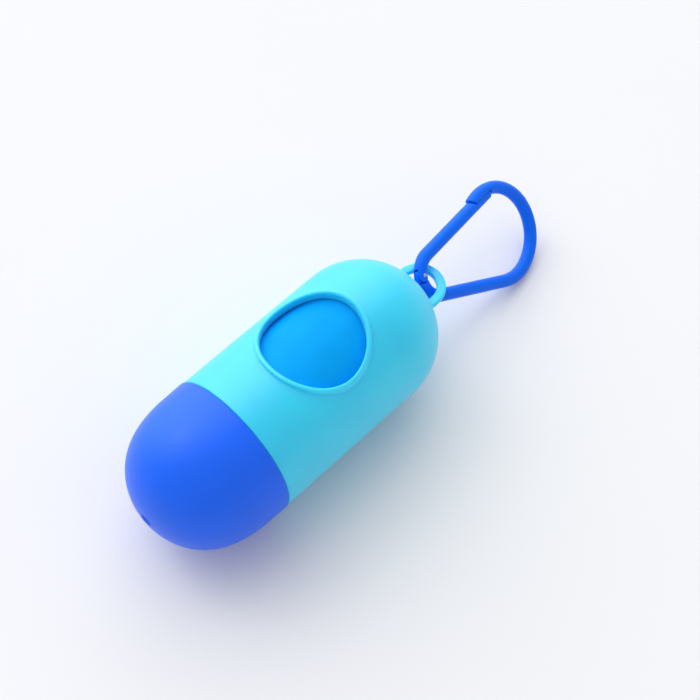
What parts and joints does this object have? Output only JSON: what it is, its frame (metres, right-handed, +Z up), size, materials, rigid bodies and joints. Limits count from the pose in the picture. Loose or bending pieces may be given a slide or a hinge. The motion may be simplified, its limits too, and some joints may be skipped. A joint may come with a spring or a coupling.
{
  "type": "dog poop bag dispenser",
  "caption": "Pill-shaped case for rolled pet waste bags, with a round window to pull them from, a screw cap and a snap hook for a lead.",
  "frame": {"origin": "bottom centre of the whole object as it lies on its side, on the surface that it rests on", "axes": "+X runs along the case from the cap to the snap hook, +Z is up through the middle of the window, and +Y completes a right-handed frame"},
  "size_m": [0.1409, 0.04, 0.0407],
  "materials": {
    "case_plastic": "satin moulded, light cyan",
    "cap_plastic": "satin moulded, strong blue",
    "core_card": "plain wound board",
    "bag_film": "thin blue film, wound flat",
    "hook_plastic": "moulded, strong blue",
    "pin_steel": "bright rivet end",
    "spring_steel": "plain spring wire"
  },
  "bodies": {
    "shell": {"body_shell": "case_plastic"},
    "core": {"roll_core": "core_card"},
    "cap": {"screw_cap": "cap_plastic"},
    "roll": {"bag_roll": "bag_film", "lead_bag": "bag_film"},
    "carabiner": {"carabiner_frame": "hook_plastic"},
    "gate": {"carabiner_gate": "hook_plastic", "gate_pin": "pin_steel", "gate_spring": "spring_steel"}
  },
  "joints": [
    {"name": "cap_travel", "type": "slide", "parent": "shell", "child": "core", "axis": [-1, 0, 0], "range_m": [0, 0.008]},
    {"name": "cap_turn", "type": "hinge", "parent": "core", "child": "cap", "pos_m": [-0.04169, 0, 0.02], "axis": [-1, 0, 0], "range_deg": [0, 720]},
    {"name": "roll_spin", "type": "hinge", "parent": "core", "child": "roll", "pos_m": [-0.02669, 0, 0.02], "axis": [1, 0, 0], "continuous": true},
    {"name": "carabiner_swing", "type": "hinge", "parent": "shell", "child": "carabiner", "pos_m": [0.03121, 0, 0.0192], "axis": [0.1994, -0.7314, 0.6522], "range_deg": [-60, 75]},
    {"name": "gate_open", "type": "hinge", "parent": "carabiner", "child": "gate", "pos_m": [0.0261, 0.0012, 0.0221], "axis": [-0.1994, 0.7314, -0.6522], "range_deg": [0, 12], "stiffness_Nm_per_rad": 0.01, "springref_deg": -28.65}
  ],
  "couplings": [
    {"joint": "cap_turn", "follows": "cap_travel", "rad_per_m": 1570.8}
  ]
}
